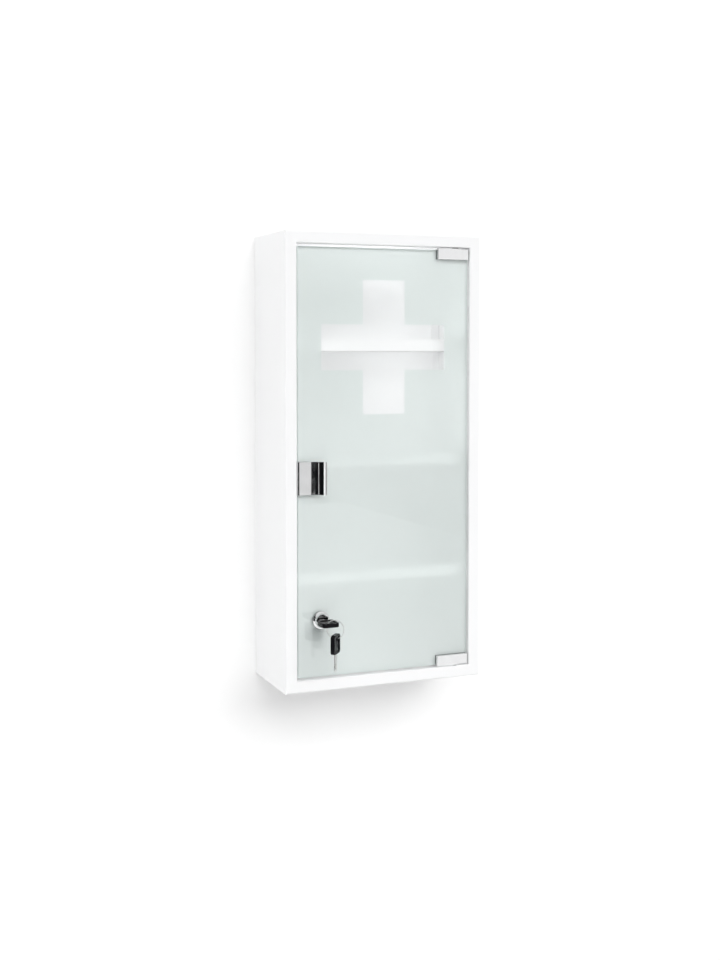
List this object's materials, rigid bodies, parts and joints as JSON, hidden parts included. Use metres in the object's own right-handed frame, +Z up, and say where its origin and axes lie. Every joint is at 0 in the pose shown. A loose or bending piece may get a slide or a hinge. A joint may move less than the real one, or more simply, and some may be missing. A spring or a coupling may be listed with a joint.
{
  "type": "medicine cabinet",
  "caption": "Lockable wall-hung medicine cabinet: folded steel casing with shelves and an inset frosted-glass door that has a clear cross, clip handle, cam lock and keys.",
  "frame": {"origin": "centre of the wall-screw pattern, on the casing's back face", "axes": "+X to the viewer's right, +Y into the wall, +Z up"},
  "size_m": [0.28, 0.1779, 0.6],
  "materials": {
    "white_steel": "semi-gloss white powder coat on steel sheet",
    "frosted_glass": "toughened float glass, frosted with a clear cross",
    "chrome": "polished chrome on zinc",
    "zinc_steel": "bright zinc-plated steel",
    "key_steel": "nickel-plated steel",
    "black_plastic": "moulded black plastic, satin",
    "nylon": "black nylon",
    "soft_liner": "soft dark liner",
    "brass": "stamped brass",
    "ferrite": "sintered ferrite"
  },
  "bodies": {
    "cabinet": {"left_side": "white_steel", "right_side": "white_steel", "top_panel": "white_steel", "bottom_panel": "white_steel", "back_panel": "white_steel", "lower_shelf": "white_steel", "middle_shelf": "white_steel", "upper_shelf": "white_steel", "lower_pivot_bush": "nylon", "upper_pivot_bush": "nylon", "catch_bracket": "white_steel", "catch_cup": "zinc_steel", "catch_magnet": "ferrite", "catch_screw": "zinc_steel", "catch_nut": "zinc_steel"},
    "door": {"glass_pane": "frosted_glass", "lower_hinge_shoe": "chrome", "upper_hinge_shoe": "chrome", "lower_hinge_liner": "soft_liner", "upper_hinge_liner": "soft_liner", "lower_pivot_pin": "zinc_steel", "upper_pivot_pin": "zinc_steel", "hinge_grub_screws": "zinc_steel", "handle_clip": "chrome", "handle_liner": "soft_liner", "handle_grub_screws": "zinc_steel", "lock_housing": "chrome", "lock_gasket": "soft_liner", "lock_washer": "zinc_steel", "lock_nut": "zinc_steel"},
    "lock": {"lock_plug": "chrome", "lock_wafers": "brass", "lock_cam": "zinc_steel", "cam_washer": "zinc_steel", "cam_screw": "zinc_steel"},
    "key": {"key_blade": "key_steel", "key_bow": "black_plastic"},
    "ring": {"key_ring": "key_steel"},
    "spare_key": {"spare_key_blade": "key_steel", "spare_key_bow": "black_plastic"}
  },
  "joints": [
    {"name": "door_hinge", "type": "hinge", "parent": "cabinet", "child": "door", "pos_m": [0.1045, -0.125, 0], "axis": [0, 0, 1], "range_deg": [0, 110]},
    {"name": "lock_turn", "type": "hinge", "parent": "door", "child": "lock", "pos_m": [-0.0905, -0.1341, -0.2065], "axis": [0, 1, 0], "range_deg": [0, 90]},
    {"name": "key_pull", "type": "slide", "parent": "lock", "child": "key", "axis": [0, -1, 0], "range_m": [0, 0.032]},
    {"name": "ring_swivel", "type": "hinge", "parent": "key", "child": "ring", "pos_m": [-0.0935, -0.1598, -0.2065], "axis": [0, 0, 1], "range_deg": [-90, 20]},
    {"name": "spare_swing", "type": "hinge", "parent": "ring", "child": "spare_key", "pos_m": [-0.0858, -0.1675, -0.2232], "axis": [0.7071, -0.7071, 0], "range_deg": [-40, 40]}
  ]
}
